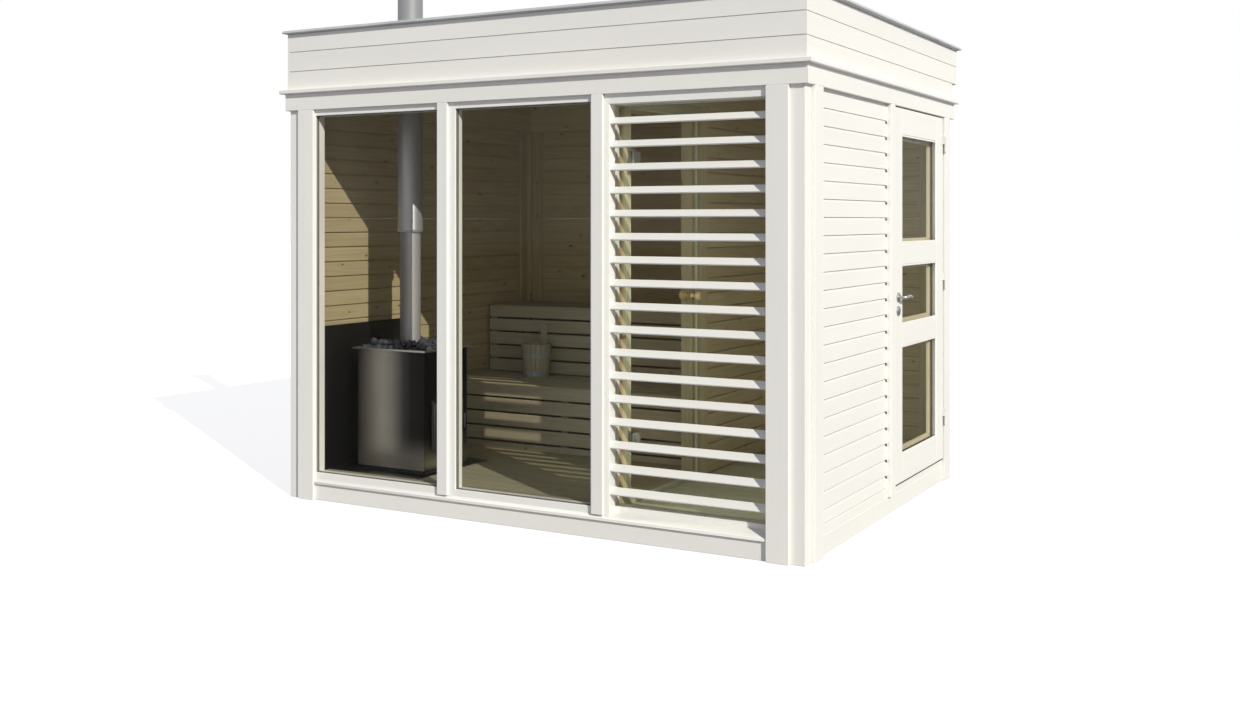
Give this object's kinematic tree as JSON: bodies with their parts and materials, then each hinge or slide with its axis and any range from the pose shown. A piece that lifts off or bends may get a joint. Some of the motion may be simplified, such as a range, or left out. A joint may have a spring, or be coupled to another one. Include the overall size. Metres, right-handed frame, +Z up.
{
  "type": "outdoor sauna cabin",
  "caption": "Flat-roofed timber sauna cabin with a glazed front, a louvred bay, a side door, a glass inner door, a wood stove with chimney, and two-tier benches.",
  "frame": {"origin": "on the ground, at the middle of the rectangle made by the outer faces of the four corner posts", "axes": "+Z up, +X to the right along the glazed front, +Y from the front to the back"},
  "size_m": [3.0745, 2.507, 3.43],
  "materials": {
    "white_paint": "matt white painted timber",
    "spruce": "planed spruce boards",
    "floor_wood": "planed floor boards",
    "bench_wood": "planed bench boards",
    "clear_glass": "clear glass",
    "tinted_glass": "lightly bronze tinted glass",
    "fire_glass": "dark heat proof glass",
    "edge_metal": "dark grey coated sheet",
    "roof_skin": "dark roofing membrane",
    "stove_steel": "brushed stainless steel",
    "black_steel": "black heat proof paint",
    "pipe_steel": "satin steel pipe",
    "fittings": "satin stainless fittings",
    "stone": "rough dark stone",
    "knob_wood": "turned oiled wood"
  },
  "bodies": {
    "root": {"base_beams": "white_paint", "floor_joists": "spruce", "floor": "floor_wood", "corner_posts": "white_paint", "front_mullions": "white_paint", "long_top_beams": "spruce", "cross_top_beams": "spruce", "left_wall": "spruce", "back_wall": "spruce", "right_wall": "spruce", "wall_sills": "white_paint", "partition_wall": "spruce", "partition_posts": "spruce", "window_frames": "white_paint", "window_glass": "clear_glass", "front_sill": "white_paint", "louvre_slats": "white_paint", "louvre_jamb": "white_paint", "corner_trims": "white_paint", "cover_strips": "white_paint", "header_band": "white_paint", "eaves_trim": "white_paint", "inner_trims": "spruce", "lower_fascia": "white_paint", "upper_fascia": "white_paint", "roof_edge": "edge_metal", "roof_joists": "spruce", "ceiling": "spruce", "roof_deck": "spruce", "roof_membrane": "roof_skin", "soffit": "white_paint", "entry_door_frame": "white_paint", "entry_hinge_pins": "fittings", "sauna_door_frame": "spruce", "sauna_hinge_pins": "fittings", "stove_body": "stove_steel", "stove_base": "black_steel", "stove_stones": "stone", "fire_door_hinges": "black_steel", "flue_pipe": "pipe_steel", "chimney_pipe": "pipe_steel", "chimney_cap": "pipe_steel", "roof_collar": "edge_metal", "heat_shield": "stove_steel", "floor_plate": "black_steel", "bench_seats": "bench_wood", "bench_risers": "bench_wood", "bench_frames": "bench_wood", "bucket": "bench_wood", "ladle": "knob_wood"},
    "entry_door": {"entry_door_leaf": "white_paint", "entry_door_glass": "clear_glass", "entry_door_handle": "fittings", "entry_hinge_leaves": "fittings"},
    "sauna_door": {"sauna_door_glass": "tinted_glass", "sauna_door_knobs": "knob_wood", "sauna_hinge_clamps": "fittings"},
    "stove_door": {"fire_door": "black_steel", "fire_door_glass": "fire_glass"}
  },
  "joints": [
    {"name": "entry_door_hinge", "type": "hinge", "parent": "root", "child": "entry_door", "pos_m": [1.51, 0.978, 1.1], "axis": [0, 0, 1], "range_deg": [0, 110]},
    {"name": "sauna_door_hinge", "type": "hinge", "parent": "root", "child": "sauna_door", "pos_m": [0.5, -0.918, 1.1], "axis": [0, 0, -1], "range_deg": [0, 90]},
    {"name": "stove_door_hinge", "type": "hinge", "parent": "root", "child": "stove_door", "pos_m": [-0.796, -0.8, 0.385], "axis": [0, 0, -1], "range_deg": [0, 110]}
  ]
}
